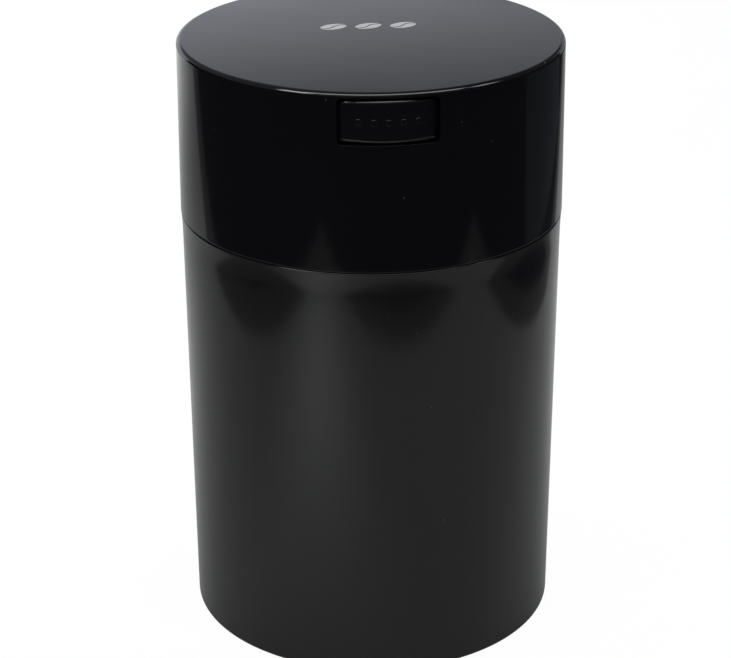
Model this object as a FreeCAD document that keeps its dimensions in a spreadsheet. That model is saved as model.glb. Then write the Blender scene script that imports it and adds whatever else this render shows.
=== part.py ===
import FreeCAD, Part
import math
import os
import re

import Sketcher

# Coffee canister: a one-piece jar with a tall lift-off lid. A button in the lid's side opens a vent
# valve, so that the lid can be pushed down and pulled up past its seal.
# Frame: origin at the middle of the foot, +Z up, the button faces -Y. Millimetres.

sizes = [
    ("total_height", 194.0, "foot to lid top"),
    ("lid_height", 55.5, "lid rim to lid top"),
    ("lid_radius", 60.5, "outside of the lid at its top edge"),
    ("lid_draft", 0.4, "how much wider the lid is at its rim"),
    ("lid_wall", 1.9, "lid side wall"),
    ("lid_top_wall", 1.4, "lid top plate"),
    ("lid_edge_round", 1.5, "round of the top edge"),
    ("lid_rim_round", 0.3, "round of the rim's two edges"),
    ("seam_gap", 0.4, "open line between lid rim and shoulder"),
    ("shoulder_inset", 0.1, "shoulder inside the lid's rim"),
    ("body_draft", 1.4, "how much narrower the jar is at its foot"),
    ("body_wall", 3.55, "wall of the jar at its floor"),
    ("body_edge_round", 1.2, "round of the foot's outer edge"),
    ("shoulder_round", 0.4, "round of the shoulder's edge"),
    ("body_floor", 2.6, "thickness of the jar's floor"),
    ("floor_corner_round", 4.0, "round inside, between floor and wall"),
    ("foot_height", 1.2, "how far the foot ring stands below the floor"),
    ("foot_width", 3.2, "width of the foot ring"),
    ("neck_gap", 0.45, "neck to lid wall"),
    ("neck_wall", 1.8, "wall of the neck at its rim"),
    ("neck_rim_round", 0.6, "round of the neck rim's edges"),
    ("flange_drop", 0.55, "plug flange below the window"),
    ("flange_thick", 1.4, "plug flange that stops on the neck rim"),
    ("flange_gap", 0.3, "flange to lid wall"),
    ("rest_gap", 0.1, "flange above the neck rim, lid closed"),
    ("plug_gap", 0.8, "plug to bore"),
    ("plug_floor", 2.6, "floor of the plug"),
    ("plug_wall", 1.8, "wall of the plug"),
    ("plug_lead", 0.6, "chamfer that leads the plug into the bore"),
    ("groove_wall", 2.2, "plug left above and below the seal groove"),
    ("groove_depth", 2.15, "seal groove, into the plug"),
    ("seal_gap", 0.1, "seal to its groove"),
    ("seal_band_inset", 0.3, "seal band below the plug's side"),
    ("lip_gap", 0.12, "seal lips to bore"),
    ("lip_edge", 0.3, "flat edge beside each lip"),
    ("lip_flank", 0.6, "sloping side of each lip"),
    ("lip_land", 0.6, "flat crown of each lip"),
    ("lip_space", 1.2, "band left between the two lips"),
    ("ring_gap", 0.15, "lid's locating ring to plug wall"),
    ("ring_wall", 1.5, "locating ring under the lid's top"),
    ("ring_depth", 2.0, "how far the locating ring reaches down"),
    ("window_width", 30.1, "button window, side to side"),
    ("window_drop", 15.85, "window's lower edge below the lid top"),
    ("window_header", 0.2, "wall left between the window and the top plate"),
    ("window_round", 1.4, "corners of the window"),
    ("button_gap", 0.2, "button to the window's sides and lower edge"),
    ("button_top_gap", 0.45, "button to the window's upper edge"),
    ("button_proud", 0.18, "middle of the button's swollen face past the lid's top edge"),
    ("button_side", 1.05, "button's two ends in front of its stop plate"),
    ("button_round", 0.8, "round of the button face's edges"),
    ("corner_extra", 0.85, "button's corners rounder than its edges"),
    ("pip_radius", 1.0, "raised pip on the button"),
    ("pip_pitch", 4.4, "pip to pip"),
    ("pips_beside", 2, "pips on each side of the middle one"),
    ("pip_proud", 0.2, "pip above the button face"),
    ("stop_overlap", 1.9, "button's stop plate past the window"),
    ("stop_gap", 0.3, "stop plate to lid wall"),
    ("stop_thick", 1.6, "stop plate"),
    ("cut_gap", 1.5, "plug wall clear of the stop plate"),
    ("arm_spacing", 17.0, "clear width between the button's arms"),
    ("arm_width", 3.0, "one arm, side to side"),
    ("arm_height", 5.2, "one arm, bottom to top"),
    ("arm_past", 7.0, "arms past the valve's axis"),
    ("ramp_slope", 0.5, "rise of the ramps for each millimetre pressed"),
    ("ramp_gap", 0.05, "cross pin to ramp"),
    ("land_height", 1.2, "arm left below the foot of the ramp"),
    ("slide_gap", 0.2, "arm to rail and fence"),
    ("fence_width", 1.8, "fence beside each arm"),
    ("fence_rise", 3.2, "fence above the rail"),
    ("rail_inset", 1.2, "rail's front end inside the plug"),
    ("button_spring_length", 13.0, "button spring as fitted"),
    ("button_spring_radius", 3.4, "button spring, middle of the wire"),
    ("button_wire", 0.8, "button spring wire"),
    ("button_turns", 5, "open turns of the button spring"),
    ("spigot_gap", 0.35, "spring to the spigot inside it"),
    ("spigot_length", 3.6, "spring spigots"),
    ("bracket_gap", 1.0, "spring bracket to arm"),
    ("bracket_thick", 2.0, "spring bracket"),
    ("bracket_rise", 4.6, "bracket above the spring's axis"),
    ("bridge_space", 2.6, "valve bridge behind the bracket"),
    ("bridge_end", 3.1, "bridge past its screws"),
    ("bridge_width", 11.0, "bridge, side to side"),
    ("bridge_thick", 1.8, "bridge plate"),
    ("bridge_clear", 0.3, "bridge below the cross pin"),
    ("post_radius", 2.8, "posts that carry the bridge"),
    ("post_gap", 0.7, "post to valve head"),
    ("screw_radius", 0.9, "screw thread"),
    ("screw_length", 7.0, "screw below its head"),
    ("screw_head_radius", 2.1, "screw head"),
    ("screw_head_height", 1.4, "screw head"),
    ("screw_slot", 0.6, "cross recess, width"),
    ("screw_slot_length", 3.0, "cross recess, end to end"),
    ("screw_slot_depth", 0.7, "cross recess, depth"),
    ("screw_gap", 0.2, "screw in the bridge's hole"),
    ("pilot_gap", 0.02, "screw in its post"),
    ("vent_radius", 3.2, "vent hole"),
    ("seat_wall", 1.2, "rim of the valve seat"),
    ("seat_height", 1.5, "valve seat above the plug's floor"),
    ("washer_thick", 2.0, "valve washer"),
    ("washer_gap", 0.05, "washer to the poppet's spigot"),
    ("head_radius", 6.0, "poppet head and washer"),
    ("head_thick", 1.5, "poppet head"),
    ("catch_gap", 0.8, "poppet's catch to vent hole"),
    ("catch_step", 0.5, "catch past the spigot"),
    ("catch_height", 1.0, "catch below the washer"),
    ("stem_radius", 2.5, "poppet stem"),
    ("stem_gap", 0.1, "stem in the bridge"),
    ("stem_past", 2.6, "stem above the cross pin"),
    ("pin_radius", 1.45, "cross pin"),
    ("pin_over", 0.75, "cross pin above the arms' tips"),
    ("pin_gap", 0.02, "cross pin in the stem"),
    ("valve_spring_radius", 4.4, "valve spring, middle of the wire"),
    ("valve_wire", 0.5, "valve spring wire"),
    ("valve_turns", 1, "open turns of the valve spring"),
    ("coil_gap", 0.45, "between the end turns of a spring"),
    ("end_gap", 0.05, "spring end to its seat"),
    ("strainer_radius", 9.0, "strainer disc under the vent"),
    ("strainer_thick", 0.8, "strainer disc"),
    ("strainer_gap", 0.05, "strainer in its recess"),
    ("strainer_set", 0.2, "strainer above the plug's underside"),
    ("strainer_ledge", 1.4, "ledge that the strainer sits against"),
    ("plenum_depth", 0.6, "space between strainer and vent"),
    ("mesh_radius", 0.7, "hole in the strainer"),
    ("mesh_inner", 3.0, "radius of the inner ring of strainer holes"),
    ("mesh_outer", 5.8, "radius of the outer ring of strainer holes"),
    ("mesh_inner_count", 6, "holes in the inner ring"),
    ("mesh_outer_count", 12, "holes in the outer ring"),
]

# Levels, radii and places that follow from the sizes, each from those above it.
derived = {
    "seam_level": "total_height - lid_height",
    "shoulder_level": "seam_level - seam_gap",
    "lid_under": "total_height - lid_top_wall",
    "lid_rim_radius": "lid_radius + lid_draft",
    "lid_inner_top": "lid_radius - lid_wall",
    "lid_inner_rim": "lid_rim_radius - lid_wall",
    "window_half": "window_width / 2",
    "window_level": "total_height - window_drop",
    "window_top": "lid_under - window_header",
    "flange_top": "window_level - flange_drop",
    "flange_under": "flange_top - flange_thick",
    "flange_radius": "lid_inner_top - flange_gap",
    "neck_level": "flange_under - rest_gap",
    "neck_top_radius": "lid_inner_top - neck_gap",
    "neck_root_radius": "lid_inner_rim - neck_gap",
    "mouth_radius": "neck_top_radius - neck_wall",
    "body_shoulder_radius": "lid_rim_radius - shoulder_inset",
    "body_base_radius": "body_shoulder_radius - body_draft",
    "bore_base_radius": "body_base_radius - body_wall",
    "floor_level": "foot_height + body_floor",
    "foot_inner": "body_base_radius - foot_width",
    "plug_radius": "mouth_radius - plug_gap",
    "lip_height": "lip_edge + 2 * lip_flank + lip_land",
    "seal_height": "2 * lip_height + lip_space",
    "groove_high": "flange_under - groove_wall",
    "groove_low": "groove_high - seal_height - 2 * seal_gap",
    "plug_under": "groove_low - groove_wall",
    "plug_floor_level": "plug_under + plug_floor",
    "plug_core": "plug_floor_level - plug_floor / 2",
    "chamber_radius": "plug_radius - plug_wall",
    "groove_radius": "plug_radius - groove_depth",
    "well_radius": "groove_radius - plug_wall",
    "seal_inner": "groove_radius + seal_gap",
    "seal_band": "plug_radius - seal_band_inset",
    "seal_low": "groove_low + seal_gap",
    "seal_high": "groove_high - seal_gap",
    "bore_slope": "(mouth_radius - bore_base_radius) / (neck_level - floor_level)",
    "lip_radius": "mouth_radius - bore_slope * (neck_level - seal_low) - lip_gap",
    "ring_radius": "chamber_radius - ring_gap",
    "button_half": "window_half - button_gap",
    "button_low": "window_level + button_gap",
    "button_high": "window_top - button_top_gap",
    "button_mid": "(button_low + button_high) / 2",
    "button_corner": "button_round + corner_extra",
    "stop_half": "window_half + stop_overlap",
    "stop_front": "sqrt(lid_inner_top^2 - stop_half^2) - stop_gap",
    "stop_back": "stop_front - stop_thick",
    "cut_half": "stop_half + cut_gap",
    "face_front": "lid_radius + button_proud",
    "face_sag": "face_front - stop_front - button_side",
    "face_radius": "(button_half^2 + face_sag^2) / (2 * face_sag)",
    "face_centre": "face_front - face_radius",
    "pip_crown": "face_radius + pip_proud",
    "spigot_radius": "button_spring_radius - button_wire / 2 - spigot_gap",
    "bracket_front": "stop_back - button_spring_length",
    "bracket_back": "bracket_front - bracket_thick",
    "post_offset": "head_radius + post_gap + post_radius",
    "bridge_half": "post_offset + bridge_end",
    "valve_reach": "bracket_back - bridge_space - bridge_half",
    "arm_inner": "arm_spacing / 2",
    "arm_outer": "arm_inner + arm_width",
    "arm_high": "button_low + arm_height",
    "arm_tip": "valve_reach - arm_past",
    "land_level": "button_low + land_height",
    "pin_level": "land_level + pin_over + pin_radius",
    "ramp_level": "pin_level - (pin_radius + ramp_gap) * sqrt(1 + ramp_slope^2)",
    "ramp_foot": "valve_reach - (ramp_level - land_level) / ramp_slope",
    "ramp_head": "valve_reach + (arm_high - ramp_level) / ramp_slope",
    "rail_level": "button_low - slide_gap",
    "fence_inner": "arm_outer + slide_gap",
    "fence_outer": "fence_inner + fence_width",
    "rail_front": "sqrt(well_radius^2 - fence_outer^2) - rail_inset",
    "bridge_top": "pin_level - pin_radius - bridge_clear",
    "bridge_under": "bridge_top - bridge_thick",
    "seat_level": "plug_floor_level + seat_height",
    "washer_top": "seat_level + washer_thick",
    "head_top": "washer_top + head_thick",
    "catch_radius": "vent_radius - catch_gap",
    "poppet_spigot": "catch_radius - catch_step",
    "stem_top": "pin_level + stem_past",
    "recess_depth": "strainer_thick + strainer_set",
    "recess_radius": "strainer_radius + strainer_gap",
}

doc = FreeCAD.newDocument("CoffeeCanister")
sheet = doc.addObject("Spreadsheet::Sheet", "Sizes")
for row, (alias, number, note) in enumerate(sizes, start=1):
    sheet.set(f"A{row}", alias)
    sheet.set(f"B{row}", str(number))
    sheet.setAlias(f"B{row}", alias)
    sheet.set(f"C{row}", note)
doc.recompute()
aliases = {alias for alias, number, note in sizes}


def formula(text):
    # Writes a formula in plain names as one on the sheet's cells.
    def cell(match):
        word = match.group()
        if word in aliases:
            return "Sizes." + word
        if word in derived:
            return "(" + formula(derived[word]) + ")"
        return word
    return re.sub(r"[a-z_]+", cell, text)


def value(text):
    return float(sheet.evalExpression(formula(text)))


def new_body(label):
    body = doc.addObject("PartDesign::Body", label)
    body.Label = label
    return body


def plane_of(body, role):
    return next(feature for feature in body.Origin.OriginFeatures if feature.Role == role)


def sketch_on(body, role, lift="0"):
    # A sketch on one of the body's origin planes, lifted along the plane's normal.
    # On XZ the normal is -Y, on YZ it is +X and on XY it is +Z.
    sketch = body.newObject("Sketcher::SketchObject", "Sketch")
    sketch.AttachmentSupport = [(plane_of(body, role), "")]
    sketch.MapMode = "FlatFace"
    sketch.setExpression("AttachmentOffset.Base.z", formula(lift))
    return sketch


def constrain(sketch, text, kind, *where):
    index = sketch.addConstraint(Sketcher.Constraint(kind, *where, value(text)))
    sketch.setExpression(f"Constraints[{index}]", formula(text))


def draw_outline(sketch, points):
    # A closed outline of straight lines through points given as formulas.
    corners = [FreeCAD.Vector(value(across), value(up), 0) for across, up in points]
    first = sketch.GeometryCount
    count = len(corners)
    for index, corner in enumerate(corners):
        sketch.addGeometry(Part.LineSegment(corner, corners[(index + 1) % count]), False)
    for index, (across, up) in enumerate(points):
        sketch.addConstraint(
            Sketcher.Constraint("Coincident", first + index, 2, first + (index + 1) % count, 1))
        constrain(sketch, across, "DistanceX", first + index, 1)
        constrain(sketch, up, "DistanceY", first + index, 1)


def draw_box(sketch, left, low, right, high):
    draw_outline(sketch, [(left, low), (right, low), (right, high), (left, high)])


def draw_circle(sketch, across, up, radius):
    middle = FreeCAD.Vector(value(across), value(up), 0)
    circle = sketch.addGeometry(Part.Circle(middle, FreeCAD.Vector(0, 0, 1), value(radius)), False)
    constrain(sketch, across, "DistanceX", circle, 3)
    constrain(sketch, up, "DistanceY", circle, 3)
    constrain(sketch, radius, "Radius", circle)


def revolve(body, points):
    sketch = sketch_on(body, "XZ_Plane")
    draw_outline(sketch, points)
    feature = body.newObject("PartDesign::Revolution", "Revolution")
    feature.Profile = sketch
    feature.ReferenceAxis = (sketch, ["V_Axis"])
    feature.Angle = 360
    doc.recompute()


def pad(body, sketch, length):
    feature = body.newObject("PartDesign::Pad", "Pad")
    feature.Profile = sketch
    feature.setExpression("Length", formula(length))
    doc.recompute()
    return feature


def cut_must_bite(body, before):
    doc.recompute()
    if not body.Shape.Volume < before:
        raise RuntimeError(f"a cut in {body.Label} removes nothing")


def pocket(body, sketch, length, along_normal=False):
    before = body.Shape.Volume
    feature = body.newObject("PartDesign::Pocket", "Pocket")
    feature.Profile = sketch
    feature.setExpression("Length", formula(length))
    feature.Reversed = along_normal
    cut_must_bite(body, before)
    return feature


def ring_edges(body, *rings):
    # The round edges about the Z axis that have one of the given radii and heights.
    wanted = [(value(radius), value(height)) for radius, height in rings]
    names = []
    for index, edge in enumerate(body.Shape.Edges, start=1):
        if not isinstance(edge.Curve, Part.Circle):
            continue
        for radius, height in wanted:
            if math.isclose(edge.Curve.Radius, radius, abs_tol=1e-4) and \
                    math.isclose(edge.Curve.Center.z, height, abs_tol=1e-4):
                names.append(f"Edge{index}")
    return names


def round_edges(body, edges, radius):
    base = body.Tip
    feature = body.newObject("PartDesign::Fillet", "Fillet")
    feature.Base = (base, edges)
    feature.setExpression("Radius", formula(radius))
    doc.recompute()


def chamfer_edges(body, edges, size):
    base = body.Tip
    feature = body.newObject("PartDesign::Chamfer", "Chamfer")
    feature.Base = (base, edges)
    feature.setExpression("Size", formula(size))
    doc.recompute()


def make_canister_body():
    body = new_body("canister_body")
    revolve(body, [
        ("0", "foot_height"),
        ("foot_inner", "foot_height"),
        ("foot_inner", "0"),
        ("body_base_radius", "0"),
        ("body_shoulder_radius", "shoulder_level"),
        ("neck_root_radius", "shoulder_level"),
        ("neck_top_radius", "neck_level"),
        ("mouth_radius", "neck_level"),
        ("bore_base_radius", "floor_level"),
        ("0", "floor_level"),
    ])
    round_edges(body, ring_edges(body, ("body_base_radius", "0")), "body_edge_round")
    round_edges(body, ring_edges(body, ("body_shoulder_radius", "shoulder_level")), "shoulder_round")
    neck_rim = ring_edges(body, ("neck_top_radius", "neck_level"), ("mouth_radius", "neck_level"))
    round_edges(body, neck_rim, "neck_rim_round")
    round_edges(body, ring_edges(body, ("bore_base_radius", "floor_level")), "floor_corner_round")
    return body


def draw_rounded_box(sketch, left, low, right, high, corner):
    # Four lines and four tangent arcs, counter-clockwise from the lower line.
    x0, y0, x1, y1, radius = (value(text) for text in (left, low, right, high, corner))
    lines = [
        ((x0 + radius, y0), (x1 - radius, y0)),
        ((x1, y0 + radius), (x1, y1 - radius)),
        ((x1 - radius, y1), (x0 + radius, y1)),
        ((x0, y1 - radius), (x0, y0 + radius)),
    ]
    middles = [(x1 - radius, y0 + radius), (x1 - radius, y1 - radius),
               (x0 + radius, y1 - radius), (x0 + radius, y0 + radius)]
    quarter = math.pi / 2
    for side, ((start, end), middle) in enumerate(zip(lines, middles)):
        sketch.addGeometry(Part.LineSegment(FreeCAD.Vector(*start, 0), FreeCAD.Vector(*end, 0)), False)
        circle = Part.Circle(FreeCAD.Vector(*middle, 0), FreeCAD.Vector(0, 0, 1), radius)
        turn = (side - 1) * quarter
        sketch.addGeometry(Part.ArcOfCircle(circle, turn, turn + quarter), False)
    for index in range(8):
        sketch.addConstraint(Sketcher.Constraint("Tangent", index, 2, (index + 1) % 8, 1))
    for line, kind in ((0, "Horizontal"), (4, "Horizontal"), (2, "Vertical"), (6, "Vertical")):
        sketch.addConstraint(Sketcher.Constraint(kind, line))
    for arc in (3, 5, 7):
        sketch.addConstraint(Sketcher.Constraint("Equal", 1, arc))
    constrain(sketch, corner, "Radius", 1)
    constrain(sketch, low, "DistanceY", 0, 1)
    constrain(sketch, right, "DistanceX", 2, 1)
    constrain(sketch, high, "DistanceY", 4, 1)
    constrain(sketch, left, "DistanceX", 6, 1)


def make_lid_cap():
    body = new_body("lid_cap")
    revolve(body, [
        ("0", "total_height"),
        ("lid_radius", "total_height"),
        ("lid_rim_radius", "seam_level"),
        ("lid_inner_rim", "seam_level"),
        ("lid_inner_top", "lid_under"),
        ("ring_radius", "lid_under"),
        ("ring_radius", "lid_under - ring_depth"),
        ("ring_radius - ring_wall", "lid_under - ring_depth"),
        ("ring_radius - ring_wall", "lid_under"),
        ("0", "lid_under"),
    ])
    round_edges(body, ring_edges(body, ("lid_radius", "total_height")), "lid_edge_round")
    rim = ring_edges(body, ("lid_rim_radius", "seam_level"), ("lid_inner_rim", "seam_level"))
    round_edges(body, rim, "lid_rim_round")
    # The locating ring stops short behind the button, and the window is cut for it.
    relief = sketch_on(body, "XZ_Plane")
    draw_box(relief, "-cut_half", "lid_under - ring_depth", "cut_half", "lid_under")
    pocket(body, relief, "ring_radius + ring_gap", along_normal=True)
    window = sketch_on(body, "XZ_Plane")
    draw_rounded_box(window, "-window_half", "window_level", "window_half", "window_top", "window_round")
    pocket(body, window, "lid_rim_radius + lid_wall", along_normal=True)
    return body


def make_inner_plug():
    body = new_body("inner_plug")
    revolve(body, [
        ("0", "plug_under"),
        ("plug_radius", "plug_under"),
        ("plug_radius", "groove_low"),
        ("groove_radius", "groove_low"),
        ("groove_radius", "groove_high"),
        ("plug_radius", "groove_high"),
        ("plug_radius", "flange_under"),
        ("flange_radius", "flange_under"),
        ("flange_radius", "flange_top"),
        ("plug_radius", "flange_top"),
        ("plug_radius", "lid_under"),
        ("chamber_radius", "lid_under"),
        ("chamber_radius", "flange_top"),
        ("well_radius", "flange_top"),
        ("well_radius", "plug_floor_level"),
        ("0", "plug_floor_level"),
    ])
    chamfer_edges(body, ring_edges(body, ("plug_radius", "plug_under")), "plug_lead")
    doorway = sketch_on(body, "XZ_Plane")
    draw_box(doorway, "-cut_half", "flange_top", "cut_half", "lid_under")
    pocket(body, doorway, "plug_radius + plug_wall", along_normal=True)
    # A rail under each of the button's arms, with a fence outside it.
    rails = sketch_on(body, "XZ_Plane", "arm_tip")
    for side in ("", "-"):
        draw_outline(rails, [
            (side + "arm_inner", "plug_core"),
            (side + "fence_outer", "plug_core"),
            (side + "fence_outer", "rail_level + fence_rise"),
            (side + "fence_inner", "rail_level + fence_rise"),
            (side + "fence_inner", "rail_level"),
            (side + "arm_inner", "rail_level"),
        ])
    pad(body, rails, "rail_front - arm_tip")
    # The bracket and spigot that the button spring pushes against.
    bracket = sketch_on(body, "XZ_Plane", "bracket_back")
    draw_box(bracket, "-(arm_inner - bracket_gap)", "plug_core",
             "arm_inner - bracket_gap", "button_mid + bracket_rise")
    pad(body, bracket, "bracket_thick")
    spigot = sketch_on(body, "XZ_Plane", "bracket_back")
    draw_circle(spigot, "0", "button_mid", "spigot_radius")
    pad(body, spigot, "bracket_thick + spigot_length")
    # Two posts for the bridge, the raised valve seat between them, and their holes.
    posts = sketch_on(body, "XY_Plane", "plug_core")
    seat = sketch_on(body, "XY_Plane", "plug_core")
    pilots = sketch_on(body, "XY_Plane", "bridge_under")
    for side in ("+", "-"):
        place = f"-(valve_reach {side} post_offset)"
        draw_circle(posts, "0", place, "post_radius")
        draw_circle(pilots, "0", place, "screw_radius + pilot_gap")
    draw_circle(seat, "0", "-valve_reach", "vent_radius + seat_wall")
    pad(body, posts, "bridge_under - plug_core")
    pad(body, seat, "seat_level - plug_core")
    pocket(body, pilots, "screw_length")
    vent = sketch_on(body, "XY_Plane", "seat_level")
    draw_circle(vent, "0", "-valve_reach", "vent_radius")
    pocket(body, vent, "seat_height + plug_floor")
    # The strainer's recess, and the deeper space over the strainer.
    for radius, depth in (("recess_radius", "recess_depth"),
                          ("recess_radius - strainer_ledge", "recess_depth + plenum_depth")):
        recess = sketch_on(body, "XY_Plane", "plug_under")
        draw_circle(recess, "0", "-valve_reach", radius)
        pocket(body, recess, depth, along_normal=True)
    return body


def make_lid_seal():
    body = new_body("lid_seal")
    low_lip = "seal_low + lip_edge"
    high_lip = "seal_high - lip_edge"
    revolve(body, [
        ("seal_inner", "seal_low"),
        ("seal_band", "seal_low"),
        ("seal_band", low_lip),
        ("lip_radius", low_lip + " + lip_flank"),
        ("lip_radius", low_lip + " + lip_flank + lip_land"),
        ("seal_band", low_lip + " + 2 * lip_flank + lip_land"),
        ("seal_band", high_lip + " - 2 * lip_flank - lip_land"),
        ("lip_radius", high_lip + " - lip_flank - lip_land"),
        ("lip_radius", high_lip + " - lip_flank"),
        ("seal_band", high_lip),
        ("seal_band", "seal_high"),
        ("seal_inner", "seal_high"),
    ])
    return body


def draw_button_plan(sketch):
    # Seen from above: the swollen face, two short sides and the straight back.
    half = value("button_half")
    back = -value("stop_front")
    side = back - value("button_side")
    centre = -value("face_centre")
    circle = Part.Circle(FreeCAD.Vector(0, centre, 0), FreeCAD.Vector(0, 0, 1), value("face_radius"))
    ends = math.atan2(side - centre, -half), math.atan2(side - centre, half)
    sketch.addGeometry(Part.ArcOfCircle(circle, *ends), False)
    corners = [(half, side), (half, back), (-half, back), (-half, side)]
    for start, end in zip(corners, corners[1:]):
        sketch.addGeometry(Part.LineSegment(FreeCAD.Vector(*start, 0), FreeCAD.Vector(*end, 0)), False)
    for index in range(4):
        sketch.addConstraint(Sketcher.Constraint("Coincident", index, 2, (index + 1) % 4, 1))
    constrain(sketch, "0", "DistanceX", 0, 3)
    constrain(sketch, "-face_centre", "DistanceY", 0, 3)
    constrain(sketch, "face_radius", "Radius", 0)
    constrain(sketch, "button_half", "DistanceX", 1, 1)
    constrain(sketch, "button_half", "DistanceX", 1, 2)
    constrain(sketch, "-stop_front", "DistanceY", 1, 2)
    constrain(sketch, "-button_half", "DistanceX", 3, 1)
    constrain(sketch, "-stop_front", "DistanceY", 3, 1)
    constrain(sketch, "-button_half", "DistanceX", 3, 2)


def straight_edges(body, direction):
    names = []
    for index, edge in enumerate(body.Shape.Edges, start=1):
        if isinstance(edge.Curve, Part.Line) and abs(edge.Curve.Direction.dot(direction)) > 0.999:
            names.append(f"Edge{index}")
    return names


def face_edges(body):
    # The edges all round the button's curved face.
    radius = value("face_radius")
    face = next(face for face in body.Shape.Faces
                if isinstance(face.Surface, Part.Cylinder)
                and math.isclose(face.Surface.Radius, radius, abs_tol=1e-4))
    return [f"Edge{index}" for index, edge in enumerate(body.Shape.Edges, start=1)
            if any(edge.isSame(side) for side in face.Edges)]


def make_press_button():
    body = new_body("press_button")
    plan = sketch_on(body, "XY_Plane", "button_low")
    draw_button_plan(plan)
    pad(body, plan, "button_high - button_low")
    round_edges(body, straight_edges(body, FreeCAD.Vector(0, 1, 0)), "button_corner")
    round_edges(body, face_edges(body), "button_round")
    # A row of raised pips that a thumb can find, turned off to the face's curve.
    pips = sketch_on(body, "XZ_Plane", "stop_front")
    beside = round(value("pips_beside"))
    for place in range(-beside, beside + 1):
        draw_circle(pips, f"{place} * pip_pitch", "button_mid", "pip_radius")
    pad(body, pips, "face_front + pip_radius - stop_front")
    trim = sketch_on(body, "XZ_Plane", "face_centre")
    draw_box(trim, "pip_crown", "button_low", "pip_crown + button_half", "button_high")
    before = body.Shape.Volume
    groove = body.newObject("PartDesign::Groove", "Groove")
    groove.Profile = trim
    groove.ReferenceAxis = (trim, ["V_Axis"])
    groove.Angle = 360
    cut_must_bite(body, before)
    plate = sketch_on(body, "XZ_Plane", "stop_back")
    draw_box(plate, "-stop_half", "button_low", "stop_half", "button_high")
    pad(body, plate, "stop_thick")
    spigot = sketch_on(body, "XZ_Plane", "stop_back - spigot_length")
    draw_circle(spigot, "0", "button_mid", "spigot_radius")
    pad(body, spigot, "spigot_length + stop_thick")
    # Two arms whose tops slope down to the tip: pressed in, the slopes lift the cross pin.
    for inner_side in ("arm_inner", "-arm_outer"):
        arm = sketch_on(body, "YZ_Plane", inner_side)
        draw_outline(arm, [
            ("-stop_front", "button_low"),
            ("-arm_tip", "button_low"),
            ("-arm_tip", "land_level"),
            ("-ramp_foot", "land_level"),
            ("-ramp_head", "arm_high"),
            ("-stop_front", "arm_high"),
        ])
        pad(body, arm, "arm_width")
    return body


def on_valve_axis(body):
    body.setExpression("Placement.Base.y", formula("-valve_reach"))
    return body


def make_valve_poppet():
    body = on_valve_axis(new_body("valve_poppet"))
    revolve(body, [
        ("0", "seat_level - catch_height"),
        ("poppet_spigot", "seat_level - catch_height"),
        ("catch_radius", "seat_level - washer_gap"),
        ("poppet_spigot", "seat_level - washer_gap"),
        ("poppet_spigot", "washer_top"),
        ("head_radius", "washer_top"),
        ("head_radius", "head_top"),
        ("stem_radius", "head_top"),
        ("stem_radius", "stem_top"),
        ("0", "stem_top"),
    ])
    hole = sketch_on(body, "YZ_Plane", "stem_radius")
    draw_circle(hole, "0", "pin_level", "pin_radius + pin_gap")
    pocket(body, hole, "2 * stem_radius")
    return body


def make_valve_washer():
    body = on_valve_axis(new_body("valve_washer"))
    revolve(body, [
        ("poppet_spigot + washer_gap", "seat_level"),
        ("head_radius", "seat_level"),
        ("head_radius", "washer_top"),
        ("poppet_spigot + washer_gap", "washer_top"),
    ])
    return body


def make_cross_pin():
    pin = doc.addObject("Part::Cylinder", "cross_pin")
    pin.setExpression("Radius", formula("pin_radius"))
    pin.setExpression("Height", formula("2 * arm_outer"))
    pin.Placement.Rotation = FreeCAD.Rotation(FreeCAD.Vector(0, 0, 1), FreeCAD.Vector(1, 0, 0))
    pin.setExpression("Placement.Base.x", formula("-arm_outer"))
    pin.setExpression("Placement.Base.y", formula("-valve_reach"))
    pin.setExpression("Placement.Base.z", formula("pin_level"))
    return pin


def make_valve_bridge():
    body = on_valve_axis(new_body("valve_bridge"))
    plate = sketch_on(body, "XY_Plane", "bridge_under")
    draw_rounded_box(plate, "-bridge_width / 2", "-bridge_half", "bridge_width / 2", "bridge_half",
                     "bridge_end")
    pad(body, plate, "bridge_thick")
    holes = sketch_on(body, "XY_Plane", "bridge_top")
    draw_circle(holes, "0", "0", "stem_radius + stem_gap")
    draw_circle(holes, "0", "post_offset", "screw_radius + screw_gap")
    draw_circle(holes, "0", "-post_offset", "screw_radius + screw_gap")
    pocket(body, holes, "bridge_thick")
    return body


def add_solid(kind, name, expressions):
    solid = doc.addObject(kind, name)
    for target, text in expressions.items():
        solid.setExpression(target, formula(text))
    return solid


def make_screw(place):
    head = add_solid("Part::Cylinder", "ScrewHead", {
        "Radius": "screw_head_radius",
        "Height": "screw_head_height",
        "Placement.Base.y": place,
        "Placement.Base.z": "bridge_top",
    })
    thread = add_solid("Part::Cylinder", "ScrewThread", {
        "Radius": "screw_radius",
        "Height": "screw_length + screw_head_height",
        "Placement.Base.y": place,
        "Placement.Base.z": "bridge_top - screw_length",
    })
    blank = doc.addObject("Part::Fuse", "ScrewBlank")
    blank.Base = head
    blank.Tool = thread
    slots = []
    for wide, long in (("screw_slot", "screw_slot_length"), ("screw_slot_length", "screw_slot")):
        slots.append(add_solid("Part::Box", "ScrewSlot", {
            "Length": wide,
            "Width": long,
            "Height": "screw_slot_depth",
            "Placement.Base.x": f"-{wide} / 2",
            "Placement.Base.y": f"{place} - {long} / 2",
            "Placement.Base.z": "bridge_top + screw_head_height - screw_slot_depth",
        }))
    cross = doc.addObject("Part::Fuse", "ScrewCross")
    cross.Base = slots[0]
    cross.Tool = slots[1]
    screw = doc.addObject("Part::Cut", "Screw")
    screw.Base = blank
    screw.Tool = cross
    return screw


def make_bridge_screws():
    pair = doc.addObject("Part::Compound", "bridge_screws")
    pair.Links = [make_screw(f"-(valve_reach {side} post_offset)") for side in ("+", "-")]
    return pair


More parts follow.
